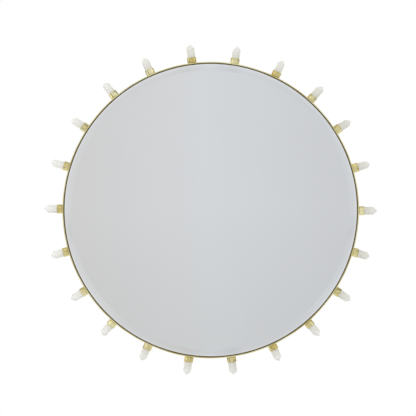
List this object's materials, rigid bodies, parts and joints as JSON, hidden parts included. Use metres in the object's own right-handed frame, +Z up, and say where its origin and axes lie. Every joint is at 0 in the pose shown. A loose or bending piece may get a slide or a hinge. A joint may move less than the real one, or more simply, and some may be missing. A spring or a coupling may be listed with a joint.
{
  "type": "wall mirror",
  "caption": "Round bevelled wall mirror in a thin brass band ringed by milky quartz points in turned brass cups, hung on swinging D-rings.",
  "frame": {"origin": "centre of the mirror on the wall plane, which is the plane of the band's rear edge", "axes": "+Z up, +Y into the wall, -Y the way the mirror faces, +X to the right as seen from the front"},
  "size_m": [0.6007, 0.03, 0.5961],
  "materials": {
    "quartz": "milky translucent natural quartz faces",
    "brass": "turned and lightly brushed, lacquered",
    "mirror": "silvered glass with a polished bevel",
    "mdf": "raw fibreboard, black-painted front",
    "foam_tape": "white foam tape",
    "resin": "milky cast resin",
    "zinc_screw": "zinc-plated screws",
    "zinc_steel": "zinc-plated pressed steel"
  },
  "bodies": {
    "mirror": {"backing_board": "mdf", "cup_screws": "zinc_screw", "frame_band": "brass", "glass_tape_strips": "foam_tape", "hanger_strap_left": "zinc_steel", "hanger_strap_right": "zinc_steel", "mirror_glass": "mirror", "mounting_tab_1": "zinc_steel", "mounting_tab_2": "zinc_steel", "mounting_tab_3": "zinc_steel", "mounting_tab_4": "zinc_steel", "point_cup_01": "brass", "point_cup_02": "brass", "point_cup_03": "brass", "point_cup_04": "brass", "point_cup_05": "brass", "point_cup_06": "brass", "point_cup_07": "brass", "point_cup_08": "brass", "point_cup_09": "brass", "point_cup_10": "brass", "point_cup_11": "brass", "point_cup_12": "brass", "point_cup_13": "brass", "point_cup_14": "brass", "point_cup_15": "brass", "point_cup_16": "brass", "point_cup_17": "brass", "point_cup_18": "brass", "point_cup_19": "brass", "point_cup_20": "brass", "point_cup_21": "brass", "point_cup_22": "brass", "point_resin": "resin", "quartz_point_01": "quartz", "quartz_point_02": "quartz", "quartz_point_03": "quartz", "quartz_point_04": "quartz", "quartz_point_05": "quartz", "quartz_point_06": "quartz", "quartz_point_07": "quartz", "quartz_point_08": "quartz", "quartz_point_09": "quartz", "quartz_point_10": "quartz", "quartz_point_11": "quartz", "quartz_point_12": "quartz", "quartz_point_13": "quartz", "quartz_point_14": "quartz", "quartz_point_15": "quartz", "quartz_point_16": "quartz", "quartz_point_17": "quartz", "quartz_point_18": "quartz", "quartz_point_19": "quartz", "quartz_point_20": "quartz", "quartz_point_21": "quartz", "quartz_point_22": "quartz", "strap_screws": "zinc_screw", "tab_screws": "zinc_screw"},
    "ring_left": {"hanger_ring_left": "zinc_steel"},
    "ring_right": {"hanger_ring_right": "zinc_steel"}
  },
  "joints": [
    {"name": "ring_left_swing", "type": "hinge", "parent": "mirror", "child": "ring_left", "pos_m": [-0.15001, -0.0093, 0.11984], "axis": [1, 0, 0], "range_deg": [0, 185]},
    {"name": "ring_right_swing", "type": "hinge", "parent": "mirror", "child": "ring_right", "pos_m": [0.15001, -0.0093, 0.11984], "axis": [1, 0, 0], "range_deg": [0, 185]}
  ]
}
